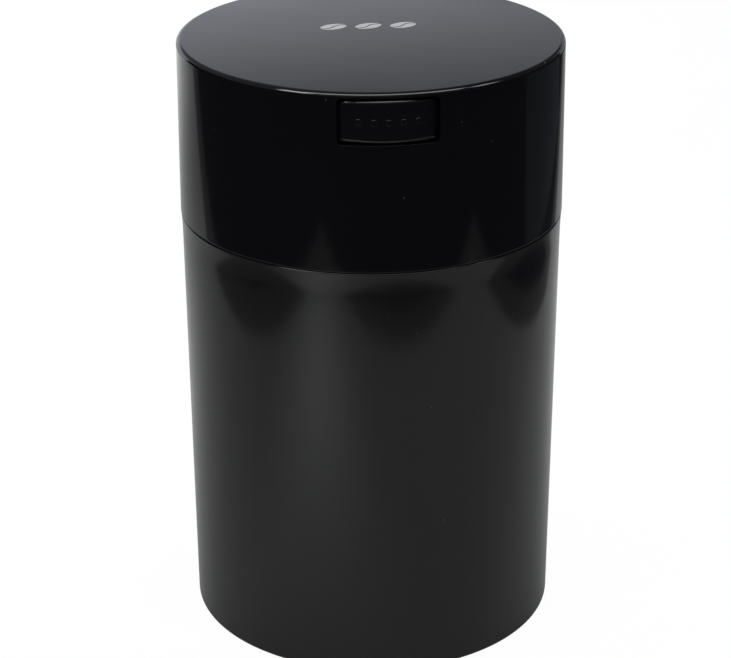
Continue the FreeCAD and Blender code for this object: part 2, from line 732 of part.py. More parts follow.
def make_vent_strainer():
    body = on_valve_axis(new_body("vent_strainer"))
    disc = sketch_on(body, "XY_Plane", "plug_under + strainer_set")
    draw_circle(disc, "0", "0", "strainer_radius")
    pad(body, disc, "strainer_thick")
    top = "plug_under + recess_depth"
    middle = sketch_on(body, "XY_Plane", top)
    draw_circle(middle, "0", "0", "mesh_radius")
    pocket(body, middle, "strainer_thick")
    for ring in ("mesh_inner", "mesh_outer"):
        hole = sketch_on(body, "XY_Plane", top)
        draw_circle(hole, ring, "0", "mesh_radius")
        first = pocket(body, hole, "strainer_thick")
        before = body.Shape.Volume
        pattern = body.newObject("PartDesign::PolarPattern", "PolarPattern")
        pattern.Originals = [first]
        pattern.Axis = (plane_of(body, "Z_Axis"), [""])
        pattern.Angle = 360
        pattern.setExpression("Occurrences", formula(ring + "_count"))
        body.Tip = pattern
        cut_must_bite(body, before)
    return body


def arc_between(start, heading, end):
    # The arc that leaves start along heading and passes through end.
    chord = end - start
    half = chord.Length / 2
    tilt = heading.getAngle(chord)
    middle = start + chord * 0.5
    corner = start + heading * (half / math.cos(tilt))
    outward = corner - middle
    outward.normalize()
    return Part.Arc(start, middle + outward * (half * math.tan(tilt / 2)), end).toShape()


def biarc(start, start_heading, end, end_heading):
    # Two arcs that meet smoothly, from one point and heading to another.
    chord = end - start
    both = start_heading + end_heading
    bend = 2 * (1 - start_heading.dot(end_heading))
    along = chord.dot(both)
    reach = (math.sqrt(along ** 2 + bend * chord.dot(chord)) - along) / bend
    joint = ((start + start_heading * reach) + (end - end_heading * reach)) * 0.5
    joint_heading = (end - end_heading * reach) - (start + start_heading * reach)
    joint_heading.normalize()
    return [arc_between(start, start_heading, joint), arc_between(joint, joint_heading, end)]


def least_turn_gap(path, wire, quarters):
    # The least gap between points of the coil that lie more than half a turn apart.
    per_quarter = 8
    points = path.discretize(quarters * per_quarter + 1)
    apart = 2 * per_quarter
    nearest = min(points[i].distanceToPoint(points[j])
                  for i in range(len(points)) for j in range(i + apart, len(points)))
    return nearest - wire


def coil_spring(label, length, radius, wire, open_turns, placement):
    # A coil along +Z with one close turn at each end, in quarter turns of two arcs each.
    end_pitch = wire + value("coil_gap")
    rise = length - wire - 2 * value("end_gap")
    pitch = (rise - 2 * end_pitch) / open_turns
    quarters = 4 * (open_turns + 2)
    heights = [wire / 2 + value("end_gap")]
    for quarter in range(quarters):
        closed = quarter < 4 or quarter >= quarters - 4
        heights.append(heights[-1] + (end_pitch if closed else pitch) / 4)
    points = []
    headings = []
    for quarter, height in enumerate(heights):
        turn = quarter * math.pi / 2
        below = heights[max(quarter - 1, 0)]
        above = heights[min(quarter + 1, quarters)]
        steps = min(quarter + 1, quarters) - max(quarter - 1, 0)
        climb = (above - below) / (steps * math.pi / 2)
        points.append(FreeCAD.Vector(radius * math.cos(turn), radius * math.sin(turn), height))
        heading = FreeCAD.Vector(-radius * math.sin(turn), radius * math.cos(turn), climb)
        headings.append(heading.normalize())
    edges = []
    for quarter in range(quarters):
        edges += biarc(points[quarter], headings[quarter], points[quarter + 1], headings[quarter + 1])
    path = Part.Wire(edges)
    section = Part.Wire(Part.Circle(points[0], headings[0], wire / 2).toShape())
    spring = doc.addObject("Part::Feature", label)
    spring.Shape = path.makePipeShell([section], True, False)
    spring.Placement = placement
    section_area = math.pi * wire ** 2 / 4
    print(f"{label}: least gap between turns {least_turn_gap(path, wire, quarters):.2f} mm, volume over "
          f"section times length {spring.Shape.Volume / (section_area * path.Length):.4f}")
    return spring


def make_button_spring():
    along_minus_y = FreeCAD.Rotation(FreeCAD.Vector(0, 0, 1), FreeCAD.Vector(0, -1, 0))
    seat = FreeCAD.Vector(0, -value("bracket_front"), value("button_mid"))
    return coil_spring("button_spring", value("button_spring_length"), value("button_spring_radius"),
                       value("button_wire"), round(value("button_turns")),
                       FreeCAD.Placement(seat, along_minus_y))


def make_valve_spring():
    seat = FreeCAD.Vector(0, -value("valve_reach"), value("head_top"))
    return coil_spring("valve_spring", value("bridge_under - head_top"), value("valve_spring_radius"),
                       value("valve_wire"), round(value("valve_turns")),
                       FreeCAD.Placement(seat, FreeCAD.Rotation()))


nodes = [
    make_canister_body(),
    make_lid_cap(),
    make_inner_plug(),
    make_lid_seal(),
    make_press_button(),
    make_button_spring(),
    make_valve_poppet(),
    make_valve_washer(),
    make_cross_pin(),
    make_valve_spring(),
    make_valve_bridge(),
    make_bridge_screws(),
    make_vent_strainer(),
]
doc.recompute()

for item in doc.Objects:
    if "Invalid" in item.State or "Error" in item.State:
        raise RuntimeError(f"{item.Name} ({item.Label}) did not compute")
for node in nodes:
    if node.Shape.isNull() or not node.Shape.isValid():
        raise RuntimeError(f"{node.Label} has no valid shape")

os.makedirs("parts", exist_ok=True)
for node in nodes:
    node.Shape.exportStep(f"parts/{node.Label}.step")
    print(f"{node.Label}: {len(node.Shape.Solids)} solid(s), {node.Shape.Volume:.1f} mm3")
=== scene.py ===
import math

import bmesh
import bpy
from mathutils import Matrix, Vector


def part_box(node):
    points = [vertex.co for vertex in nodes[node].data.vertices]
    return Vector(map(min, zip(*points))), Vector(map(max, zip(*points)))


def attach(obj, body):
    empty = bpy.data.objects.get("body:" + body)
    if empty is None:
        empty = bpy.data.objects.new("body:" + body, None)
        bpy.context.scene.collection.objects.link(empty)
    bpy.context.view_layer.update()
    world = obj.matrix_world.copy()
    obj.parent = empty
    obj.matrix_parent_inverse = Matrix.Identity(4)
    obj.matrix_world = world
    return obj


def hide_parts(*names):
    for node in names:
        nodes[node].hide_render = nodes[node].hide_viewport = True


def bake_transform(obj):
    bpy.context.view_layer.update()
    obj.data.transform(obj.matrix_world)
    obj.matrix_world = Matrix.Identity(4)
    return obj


# Coffee canister with a press-button vent valve: satin jar, gloss lid, dressed for the photograph's view.
# The pieces' dictionaries are in millimetres, which mm turns to metres; those of the stage say their unit.

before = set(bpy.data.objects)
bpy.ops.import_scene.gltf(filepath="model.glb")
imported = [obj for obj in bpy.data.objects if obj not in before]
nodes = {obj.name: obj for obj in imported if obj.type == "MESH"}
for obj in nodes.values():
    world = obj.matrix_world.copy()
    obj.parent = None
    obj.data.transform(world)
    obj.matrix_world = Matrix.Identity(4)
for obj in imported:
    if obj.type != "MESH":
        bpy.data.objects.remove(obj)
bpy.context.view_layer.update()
mm = 0.001
fullTurn = 2 * math.pi
noiseLow, noiseHigh = 0.3, 0.7  # the band that most of a noise lies in
print("frame loaded:", len(nodes), "nodes")


def boxOf(nodeName):
    # a CAD node's lowest and highest corner, in millimetres
    low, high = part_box(nodeName)
    return low / mm, high / mm


def linear(hexColour):
    # sRGB hex to the linear values that sockets take
    parts = [int(hexColour[i:i + 2], 16) / 255 for i in (1, 3, 5)]
    return [p / 12.92 if p <= 0.04045 else ((p + 0.055) / 1.055) ** 2.4 for p in parts] + [1.0]


def addNode(tree, kind, sockets, **settings):
    # one node with its settings; a socket takes a value or another node's output
    node = tree.nodes.new("ShaderNode" + kind)
    for name, value in settings.items():
        setattr(node, name, value)
    for key, value in sockets.items():
        if isinstance(value, bpy.types.NodeSocket):
            tree.links.new(value, node.inputs[key])
        else:
            node.inputs[key].default_value = value
    return node


def newMaterial(name):
    material = bpy.data.materials.new(name)
    material.use_nodes = True
    material.node_tree.nodes.clear()
    return material, material.node_tree


def finishMaterial(tree, shader):
    addNode(tree, "OutputMaterial", {"Surface": shader.outputs[0]})


# Dust on black plastic: a few pale flecks, none in most cells
dust = dict(cell=4.5, fleck=0.3, share=0.4)


def addDust(tree, place):
    cells = addNode(tree, "TexVoronoi", {"Vector": place, "Scale": 1 / (dust["cell"] * mm)})
    pick = addNode(tree, "SeparateColor", {"Color": cells.outputs["Color"]})
    size = addNode(tree, "MapRange", {
        "Value": pick.outputs["Red"], "From Min": 1 - dust["share"], "From Max": 1.0,
        "To Min": 0.0, "To Max": dust["fleck"] / dust["cell"]})
    return addNode(tree, "Math", {0: cells.outputs["Distance"], 1: size.outputs[0]}, operation="LESS_THAN")


# Screen print on the lid's top in one pale ink: three coffee beans in a row, ovals with a curved crease
# sway and crease are shares of the half width; depth is how far below the top the ink may still lie
beanPrint = dict(ink="#a9a8a6", pitch=11.0, back=9.5, turn=25, halfLength=4.4, halfWidth=2.9, sway=0.3,
                 crease=0.12, depth=0.5, squeeze=1000)


def addPrint(tree, place, colour):
    height = addNode(tree, "SeparateXYZ", {"Vector": place}).outputs["Z"]
    level = boxOf("lid_cap")[1].z - beanPrint["depth"]
    onTop = addNode(tree, "Math", {0: height, 1: level * mm}, operation="GREATER_THAN")
    for number in (-1, 0, 1):
        # from here on the oval is a unit circle in the bean's own plane, its height squeezed to nothing
        local = addNode(tree, "Mapping", {
            "Vector": place,
            "Location": (number * beanPrint["pitch"] * mm, beanPrint["back"] * mm, 0),
            "Rotation": (0, 0, math.radians(beanPrint["turn"])),
            "Scale": (beanPrint["halfLength"] * mm, beanPrint["halfWidth"] * mm, beanPrint["squeeze"]),
        }, vector_type="TEXTURE")
        axes = addNode(tree, "SeparateXYZ", {"Vector": local.outputs[0]})
        radius = addNode(tree, "VectorMath", {0: local.outputs[0]}, operation="LENGTH")
        oval = addNode(tree, "Math", {0: radius.outputs["Value"], 1: 1.0}, operation="LESS_THAN")
        phase = addNode(tree, "Math", {0: axes.outputs["X"], 1: math.pi}, operation="MULTIPLY")
        wave = addNode(tree, "Math", {0: phase.outputs[0]}, operation="SINE")
        bent = addNode(tree, "Math", {0: wave.outputs[0], 1: -beanPrint["sway"], 2: axes.outputs["Y"]},
                       operation="MULTIPLY_ADD")
        aside = addNode(tree, "Math", {0: bent.outputs[0]}, operation="ABSOLUTE")
        halves = addNode(tree, "Math", {0: aside.outputs[0], 1: beanPrint["crease"]},
                         operation="GREATER_THAN")
        inked = addNode(tree, "Math", {0: oval.outputs[0], 1: halves.outputs[0]}, operation="MULTIPLY")
        shown = addNode(tree, "Math", {0: inked.outputs[0], 1: onTop.outputs[0]}, operation="MULTIPLY")
        colour = addNode(tree, "MixRGB", {
            "Fac": shown.outputs[0], "Color1": colour.outputs[0], "Color2": linear(beanPrint["ink"])})
    return colour


# ABS moulded in a polished tool: mirror-like and near black, with faint smears and dust
glossAbs = dict(colour="#060607", dustColour="#3d3c3a", ior=1.54, roughness=0.06, smear=0.05, smearSize=28.0,
                smearLow=0.4, smearHigh=0.75, ripple=9.0, rippleHeight=0.004)
buttonAbs = dict(glossAbs, colour="#070708", roughness=0.08, ripple=5.0)


def glossAbsMaterial(name, look, printed=False):
    material, tree = newMaterial(name)
    place = addNode(tree, "TexCoord", {}).outputs["Object"]
    fleck = addDust(tree, place)
    colour = addNode(tree, "MixRGB", {
        "Fac": fleck.outputs[0], "Color1": linear(look["colour"]), "Color2": linear(look["dustColour"])})
    if printed:
        colour = addPrint(tree, place, colour)
    smear = addNode(tree, "TexNoise", {"Vector": place, "Scale": 1 / (look["smearSize"] * mm), "Detail": 4.0})
    roughness = addNode(tree, "MapRange", {
        "Value": smear.outputs[0], "From Min": look["smearLow"], "From Max": look["smearHigh"],
        "To Min": look["roughness"], "To Max": look["roughness"] + look["smear"]})
    ripple = addNode(tree, "TexNoise", {"Vector": place, "Scale": 1 / (look["ripple"] * mm), "Detail": 0.0})
    bump = addNode(tree, "Bump", {
        "Height": ripple.outputs[0], "Strength": 1.0, "Distance": look["rippleHeight"] * mm})
    shader = addNode(tree, "BsdfPrincipled", {
        "Base Color": colour.outputs[0], "Roughness": roughness.outputs[0], "IOR": look["ior"],
        "Normal": bump.outputs[0]})
    finishMaterial(tree, shader)
    return material


# ABS moulded in a fine blasted tool: satin black, a soft mirror with slight drag marks up the draw
# grain is drawn at half a millimetre, coarser than the real tool mark, so that it shows at all
satinAbs = dict(colour="#080809", dustColour="#333231", ior=1.54, roughness=0.085, drag=0.04, dragSize=6.0,
                dragStretch=0.06, grain=0.5, grainHeight=0.0012)


def satinAbsMaterial(name, look):
    material, tree = newMaterial(name)
    place = addNode(tree, "TexCoord", {}).outputs["Object"]
    fleck = addDust(tree, place)
    colour = addNode(tree, "MixRGB", {
        "Fac": fleck.outputs[0], "Color1": linear(look["colour"]), "Color2": linear(look["dustColour"])})
    upright = addNode(tree, "Mapping", {"Vector": place, "Scale": (1.0, 1.0, look["dragStretch"])})
    drag = addNode(tree, "TexNoise", {
        "Vector": upright.outputs[0], "Scale": 1 / (look["dragSize"] * mm), "Detail": 3.0})
    roughness = addNode(tree, "MapRange", {
        "Value": drag.outputs[0], "From Min": noiseLow, "From Max": noiseHigh,
        "To Min": look["roughness"], "To Max": look["roughness"] + look["drag"]})
    grain = addNode(tree, "TexNoise", {"Vector": place, "Scale": 1 / (look["grain"] * mm), "Detail": 2.0})
    bump = addNode(tree, "Bump", {
        "Height": grain.outputs[0], "Strength": 1.0, "Distance": look["grainHeight"] * mm})
    shader = addNode(tree, "BsdfPrincipled", {
        "Base Color": colour.outputs[0], "Roughness": roughness.outputs[0], "IOR": look["ior"],
        "Normal": bump.outputs[0]})
    finishMaterial(tree, shader)
    return material


# Polypropylene moulded in an etched tool: near black and matt, with a fine even texture
etchedPlastic = dict(colour="#16161a", ior=1.49, roughness=0.42, vary=0.06, grain=0.7, grainHeight=0.012)


def etchedPlasticMaterial(name, look):
    material, tree = newMaterial(name)
    place = addNode(tree, "TexCoord", {}).outputs["Object"]
    grain = addNode(tree, "TexNoise", {"Vector": place, "Scale": 1 / (look["grain"] * mm), "Detail": 3.0})
    roughness = addNode(tree, "MapRange", {
        "Value": grain.outputs[0], "From Min": noiseLow, "From Max": noiseHigh,
        "To Min": look["roughness"] - look["vary"], "To Max": look["roughness"] + look["vary"]})
    bump = addNode(tree, "Bump", {
        "Height": grain.outputs[0], "Strength": 1.0, "Distance": look["grainHeight"] * mm})
    shader = addNode(tree, "BsdfPrincipled", {
        "Base Color": linear(look["colour"]), "Roughness": roughness.outputs[0], "IOR": look["ior"],
        "Normal": bump.outputs[0]})
    finishMaterial(tree, shader)
    return material


# Silicone and acetal mouldings: even colour with slow cloudy flow, waxy or matt, and a light bloom
moulded = {
    "seal": dict(name="matt_silicone_seal", colour="#8f9092", cloud="#808184", roughness=0.5, cloudSize=9.0,
                 ior=1.41),
    "washer": dict(name="red_silicone_washer", colour="#8e3b30", cloud="#7d3027", roughness=0.55,
                   cloudSize=3.0, ior=1.41),
    "acetal": dict(name="natural_acetal", colour="#dfdcd2", cloud="#d3cfc2", roughness=0.33, cloudSize=5.0,
                   ior=1.48),
}
bloom = dict(vary=0.07, strength=0.4, height=0.05)


def mouldedMaterial(look):
    material, tree = newMaterial(look["name"])
    place = addNode(tree, "TexCoord", {}).outputs["Object"]
    cloud = addNode(tree, "TexNoise", {"Vector": place, "Scale": 1 / (look["cloudSize"] * mm), "Detail": 5.0})
    colour = addNode(tree, "MixRGB", {
        "Fac": cloud.outputs[0], "Color1": linear(look["colour"]), "Color2": linear(look["cloud"])})
    roughness = addNode(tree, "MapRange", {
        "Value": cloud.outputs[0], "From Min": noiseLow, "From Max": noiseHigh,
        "To Min": look["roughness"] - bloom["vary"], "To Max": look["roughness"] + bloom["vary"]})
    bump = addNode(tree, "Bump", {
        "Height": cloud.outputs[0], "Strength": bloom["strength"], "Distance": bloom["height"] * mm})
    shader = addNode(tree, "BsdfPrincipled", {
        "Base Color": colour.outputs[0], "Roughness": roughness.outputs[0], "IOR": look["ior"],
        "Normal": bump.outputs[0]})
    finishMaterial(tree, shader)
    return material


# Steel: bright metal with fine marks; a stretch under 1 draws the marks out along that axis
steels = {
    "pin": dict(name="ground_steel_pin", colour="#b9babd", shade="#b0b1b4", roughness=0.22, mark=0.15,
                stretch=(1.0, 1.0, 1.0)),
    "screw": dict(name="zinc_plated_steel", colour="#b4b6ba", shade="#a8aaaf", roughness=0.34, mark=0.4,
                  stretch=(1.0, 1.0, 1.0)),
    "spring": dict(name="drawn_spring_wire", colour="#a9aaad", shade="#9fa0a3", roughness=0.28, mark=0.2,
                   stretch=(1.0, 1.0, 1.0)),
    "strainer": dict(name="rolled_stainless_sheet", colour="#c4c4c2", shade="#b9b9b7", roughness=0.3,
                     mark=0.12, stretch=(0.05, 1.0, 1.0)),
}
marking = dict(smoother=0.08, rougher=0.1, strength=0.3, height=0.01)


def steelMaterial(look):
    material, tree = newMaterial(look["name"])
    place = addNode(tree, "TexCoord", {}).outputs["Object"]
    along = addNode(tree, "Mapping", {"Vector": place, "Scale": look["stretch"]})
    marks = addNode(tree, "TexNoise", {
        "Vector": along.outputs[0], "Scale": 1 / (look["mark"] * mm), "Detail": 3.0})
    roughness = addNode(tree, "MapRange", {
        "Value": marks.outputs[0], "From Min": noiseLow, "From Max": noiseHigh,
        "To Min": look["roughness"] - marking["smoother"], "To Max": look["roughness"] + marking["rougher"]})
    colour = addNode(tree, "MixRGB", {
        "Fac": marks.outputs[0], "Color1": linear(look["colour"]), "Color2": linear(look["shade"])})
    bump = addNode(tree, "Bump", {
        "Height": marks.outputs[0], "Strength": marking["strength"], "Distance": marking["height"] * mm})
    shader = addNode(tree, "BsdfPrincipled", {
        "Base Color": colour.outputs[0], "Roughness": roughness.outputs[0], "Metallic": 1.0,
        "Normal": bump.outputs[0]})
    finishMaterial(tree, shader)
    return material


jarSatin = satinAbsMaterial("satin_moulded_abs", satinAbs)
lidGloss = glossAbsMaterial("polished_abs_lid", glossAbs, printed=True)
buttonGloss = glossAbsMaterial("polished_abs_button", buttonAbs)
sealSilicone = mouldedMaterial(moulded["seal"])
springWire = steelMaterial(steels["spring"])
acetal = mouldedMaterial(moulded["acetal"])
nodeFinishes = {
    "inner_plug": etchedPlasticMaterial("etched_polypropylene", etchedPlastic),
    "valve_poppet": acetal,
    "valve_bridge": acetal,
    "valve_washer": mouldedMaterial(moulded["washer"]),
    "cross_pin": steelMaterial(steels["pin"]),
    "bridge_screws": steelMaterial(steels["screw"]),
    "vent_strainer": steelMaterial(steels["strainer"]),
}
for nodeName, finish in nodeFinishes.items():
    nodes[nodeName].data.materials.clear()
    nodes[nodeName].data.materials.append(finish)
print("materials made")


def addObject(name, data):
    item = bpy.data.objects.new(name, data)
    bpy.context.scene.collection.objects.link(item)
    return item


def addMesh(name, bm):
    mesh = bpy.data.meshes.new(name)
    bm.to_mesh(mesh)
    bm.free()
    return addObject(name, mesh)


def roundOff(bm, geom, radius, segments, affect="EDGES"):
    bmesh.ops.bevel(bm, geom=geom, offset=radius, affect=affect, segments=segments, profile=0.5, material=-1)


def edgesOf(verts):
    return list(dict.fromkeys(edge for vert in verts for edge in vert.link_edges))


def vertsSince(bm, known):
    return [vert for vert in bm.verts if vert not in known]


def closeUp(bm):
    # fills the open ends and turns every face outwards
    bmesh.ops.holes_fill(bm, edges=[edge for edge in bm.edges if edge.is_boundary])
    bmesh.ops.recalc_face_normals(bm, faces=bm.faces)


def addWire(bm, corners, closed=False):
    # edges in the XZ plane through (across, up) corners; a third number rounds the corner
    verts = [bm.verts.new((corner[0], 0, corner[1])) for corner in corners]
    for pair in zip(verts, verts[1:] + verts[:1] if closed else verts[1:]):
        bm.edges.new(pair)
    for vert, corner in zip(verts, corners):
        if len(corner) > 2:
            roundOff(bm, [vert], corner[2], 8, affect="VERTICES")


def spinAll(bm, steps):
    bmesh.ops.spin(bm, geom=bm.verts[:] + bm.edges[:], cent=(0, 0, 0), axis=(0, 0, 1), angle=fullTurn,
                   steps=steps, use_merge=True)
    bmesh.ops.remove_doubles(bm, verts=bm.verts, dist=1e-4)
    bmesh.ops.recalc_face_normals(bm, faces=bm.faces)


def finishPiece(name, bm, material, nodeName, sharp=35):
    # millimetres to metres, smooth faces with the true corners kept sharp, and the node that it stands for
    bmesh.ops.scale(bm, vec=(mm, mm, mm), verts=bm.verts)
    for face in bm.faces:
        face.smooth = True
    for edge in bm.edges:
        edge.smooth = edge.calc_face_angle(0) < math.radians(sharp)
    piece = addMesh(name, bm)
    piece.data.materials.append(material)
    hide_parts(nodeName)
    return piece


def weightNormals(piece):
    weighted = piece.modifiers.new("WeightedNormal", "WEIGHTED_NORMAL")
    weighted.keep_sharp = True


# Jar: foot ring, drafted wall that flares a little under the seam, shoulder, and a neck inside the lid
jar = dict(steps=360, footRise=1.2, footWidth=3.2, footRound=1.2, footEdge=0.4, floor=2.6, floorRound=4.0,
           draft=1.4, wall=3.55, seam=0.4, shoulderRound=0.35, neckInset=2.25, neckDraft=0.4, neckWall=1.8,
           rimRound=0.6, rootRound=0.3, flare=0.24, flareHeight=7.0, flarePoints=8, gateRadius=3.0,
           gateDepth=0.3)


def makeJar():
    low, high = boxOf("canister_body")
    shoulder = boxOf("lid_cap")[0].z - jar["seam"]
    outside = high.x
    foot = outside - jar["draft"]
    rise = jar["footRise"]
    inside = rise + jar["floor"]
    neck = outside - jar["neckInset"]
    corners = [
        (0, rise + jar["gateDepth"]),
        (jar["gateRadius"], rise + jar["gateDepth"]),
        (jar["gateRadius"] + jar["gateDepth"], rise),
        (foot - jar["footWidth"], rise, jar["footEdge"]),
        (foot - jar["footWidth"], low.z, jar["footEdge"]),
        (foot, low.z, jar["footRound"]),
    ]
    for step in range(jar["flarePoints"]):
        share = step / jar["flarePoints"]
        level = shoulder - jar["flareHeight"] * (1 - share)
        straight = outside - jar["draft"] * (shoulder - level) / shoulder
        corners.append((straight - jar["flare"] * (1 - share ** 2), level))
    corners += [
        (outside, shoulder, jar["shoulderRound"]),
        (neck, shoulder, jar["rootRound"]),
        (neck - jar["neckDraft"], high.z, jar["rimRound"]),
        (neck - jar["neckDraft"] - jar["neckWall"], high.z, jar["rimRound"]),
        (foot - jar["wall"], inside, jar["floorRound"]),
        (0, inside),
    ]
    bm = bmesh.new()
    addWire(bm, corners)
    spinAll(bm, jar["steps"])
    piece = finishPiece("jar_shell", bm, jarSatin, "canister_body")
    weightNormals(piece)
    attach(piece, "canister")


makeJar()
print("jar made")


def wrapLoop(verts, outline, grow, radius):
    # offsets a rounded rectangle by grow and lays it on an upright cylinder that faces -Y
    corner = outline["corner"]
    across = outline["half"] - corner
    for vert in verts:
        core = Vector((max(-across, min(across, vert.co.x)), 0,
                       max(outline["low"] + corner, min(outline["high"] - corner, vert.co.z))))
        out = Vector((vert.co.x, 0, vert.co.z)) - core
        place = core + out.normalized() * (corner + grow)
        place.x *= (outline["half"] + outline["sideShare"] * grow) / (outline["half"] + grow)
        vert.co = (place.x, -math.sqrt(radius ** 2 - place.x ** 2), place.z)


def skinLoops(bm, outline, stations):
    # a closed block whose rounded-rectangle section follows (grow, radius) stations from back to front
    half, corner = outline["half"], outline["corner"]
    low, high = outline["low"], outline["high"]
    corners = [(-half, low, corner), (half, low, corner), (half, high, corner), (-half, high, corner)]
    addWire(bm, corners, closed=True)
    runs = [edge for edge in bm.edges if edge.calc_length() > half]
    bmesh.ops.subdivide_edges(bm, edges=runs, cuts=outline["cuts"])
    loop = bm.edges[:]
    for number, (grow, radius) in enumerate(stations):
        if number:
            made = bmesh.ops.extrude_edge_only(bm, edges=loop)["geom"]
            fresh = set(made)
            edges = [item for item in made if isinstance(item, bmesh.types.BMEdge)]
            loop = [edge for edge in edges if fresh.issuperset(edge.verts)]
        wrapLoop({vert for edge in loop for vert in edge.verts}, outline, grow, radius)
    closeUp(bm)


def cutAway(bm, cutter):
    # the shape less the cutter, by an exact boolean on two passing objects
    shape = addMesh("passingShape", bm)
    knife = addMesh("passingKnife", cutter)
    cut = shape.modifiers.new("Cut", "BOOLEAN")
    cut.operation = "DIFFERENCE"
    cut.solver = "EXACT"
    cut.object = knife
    result = bmesh.new()
    result.from_object(shape, bpy.context.evaluated_depsgraph_get())
    for item in (shape, knife):
        bpy.data.objects.remove(item)
    return result


# Lid: top plate and skirt in one, with the button's window and a locating ring under the plate
lid = dict(steps=360, edgeRound=1.5, rimRound=0.3, draft=0.4, wall=1.9, topWall=1.4, windowHalf=15.05,
           windowDrop=15.85, windowHeader=0.2, windowCorner=1.4, windowCuts=20, lip=0.03, lipSteps=4,
           ringInset=5.0, ringWall=1.5, ringDepth=2.0, ringSink=0.05, ringReliefHalf=18.45, ringSteps=160)


def makeLid():
    low, high = boxOf("lid_cap")
    rim = high.x
    shoulder = rim - lid["draft"]
    inside = shoulder - lid["wall"]
    under = high.z - lid["topWall"]
    bm = bmesh.new()
    addWire(bm, [
        (0, high.z),
        (shoulder, high.z, lid["edgeRound"]),
        (rim, low.z, lid["rimRound"]),
        (rim - lid["wall"], low.z, lid["rimRound"]),
        (inside, under),
        (0, under),
    ])
    spinAll(bm, lid["steps"])
    # the window's cutter widens at the wall's face, which rounds the window's lip
    window = dict(half=lid["windowHalf"], low=high.z - lid["windowDrop"], high=under - lid["windowHeader"],
                  corner=lid["windowCorner"], cuts=lid["windowCuts"], sideShare=1.0)
    lip = lid["lip"]
    stations = [(0, inside - lid["wall"])]
    for step in range(lid["lipSteps"] + 1):
        turn = step * math.pi / 2 / lid["lipSteps"]
        stations.append((lip * (1 - math.cos(turn)), shoulder - lip * (1 - math.sin(turn))))
    stations.append((2 * lip, rim + lid["wall"]))
    cutter = bmesh.new()
    skinLoops(cutter, window, stations)
    bm = cutAway(bm, cutter)
    # the locating ring stops short behind the button
    outer = inside - lid["ringInset"]
    inner = outer - lid["ringWall"]
    top = under + lid["ringSink"]
    foot = under - lid["ringDepth"]
    gap = math.asin(lid["ringReliefHalf"] / outer)
    known = set(bm.verts)
    addWire(bm, [(inner, foot), (outer, foot), (outer, top), (inner, top)], closed=True)
    ring = vertsSince(bm, known)
    bmesh.ops.rotate(bm, verts=ring, cent=(0, 0, 0), matrix=Matrix.Rotation(gap - math.pi / 2, 3, "Z"))
    bmesh.ops.spin(bm, geom=ring + edgesOf(ring), cent=(0, 0, 0), axis=(0, 0, 1), angle=fullTurn - 2 * gap,
                   steps=lid["ringSteps"], use_merge=False)
    closeUp(bm)
    piece = finishPiece("lid_shell", bm, lidGloss, "lid_cap")
    weightNormals(piece)
    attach(piece, "lid")


makeLid()
print("lid made")

# Button: curved face with rounded edges and a row of pips, stop plate behind, two ramped arms, spring spigot
button = dict(half=14.85, faceRadius=60.68, fallBack=2.0, drawTop=0.8, drawLow=0.25, edgeRound=1.5,
              edgeSteps=8, sideShare=0.15, cornerExtra=0.15, cuts=20, stopFront=55.795, stopThick=1.6,
              pipRadius=1.0, pipPitch=4.4, pipsBeside=2, pipProud=0.2, pipRound=0.18, pipSink=0.4,
              pipSteps=32, armInner=8.5, armWidth=3.0, armHeight=5.2, landHeight=1.2, rampFoot=5.954,
              rampHead=13.954, blockRound=0.25, spigotRadius=2.65, spigotLength=3.6, spigotRound=0.5,
              spigotSides=40)


def addPips(bm, level):
    for number in range(-button["pipsBeside"], button["pipsBeside"] + 1):
        across = number * button["pipPitch"]
        lean = math.asin(across / button["faceRadius"])
        known = set(bm.verts)
        addWire(bm, [
            (0, -button["pipSink"]),
            (button["pipRadius"], -button["pipSink"]),
            (button["pipRadius"], button["pipProud"], button["pipRound"]),
            (0, button["pipProud"]),
        ])
        outline = vertsSince(bm, known)
        bmesh.ops.spin(bm, geom=outline + edgesOf(outline), cent=(0, 0, 0), axis=(0, 0, 1), angle=fullTurn,
                       steps=button["pipSteps"], use_merge=True)
        bmesh.ops.remove_doubles(bm, verts=vertsSince(bm, known), dist=1e-4)
        stand = Matrix.Rotation(lean, 4, "Z") @ Matrix.Rotation(math.pi / 2, 4, "X")
        fallen = button["fallBack"] * (across / button["half"]) ** 2
        place = Vector((across, fallen - button["faceRadius"] * math.cos(lean), level))
        bmesh.ops.transform(bm, matrix=Matrix.Translation(place) @ stand, verts=vertsSince(bm, known))


def addPlate(bm, low, high):
    verts = bmesh.ops.create_cube(bm, size=1)["verts"]
    bmesh.ops.scale(bm, vec=high - low, verts=verts)
    bmesh.ops.translate(bm, vec=(low + high) / 2, verts=verts)
    roundOff(bm, edgesOf(verts), button["blockRound"], 2)


def addArm(bm, side, foot, tip):
    # the arm's side view, given its width; its top slopes down to a low land at the tip
    front = -button["stopFront"]
    land = foot + button["landHeight"]
    top = foot + button["armHeight"]
    places = [(front, foot), (tip, foot), (tip, land), (tip - button["rampFoot"], land),
              (tip - button["rampHead"], top), (front, top)]
    face = bm.faces.new([bm.verts.new((side, y, z)) for y, z in places])
    made = bmesh.ops.extrude_face_region(bm, geom=[face])["geom"]
    verts = [item for item in made if isinstance(item, bmesh.types.BMVert)]
    bmesh.ops.translate(bm, verts=verts, vec=(button["armWidth"], 0, 0))
    roundOff(bm, edgesOf(verts + face.verts[:]), button["blockRound"], 2)


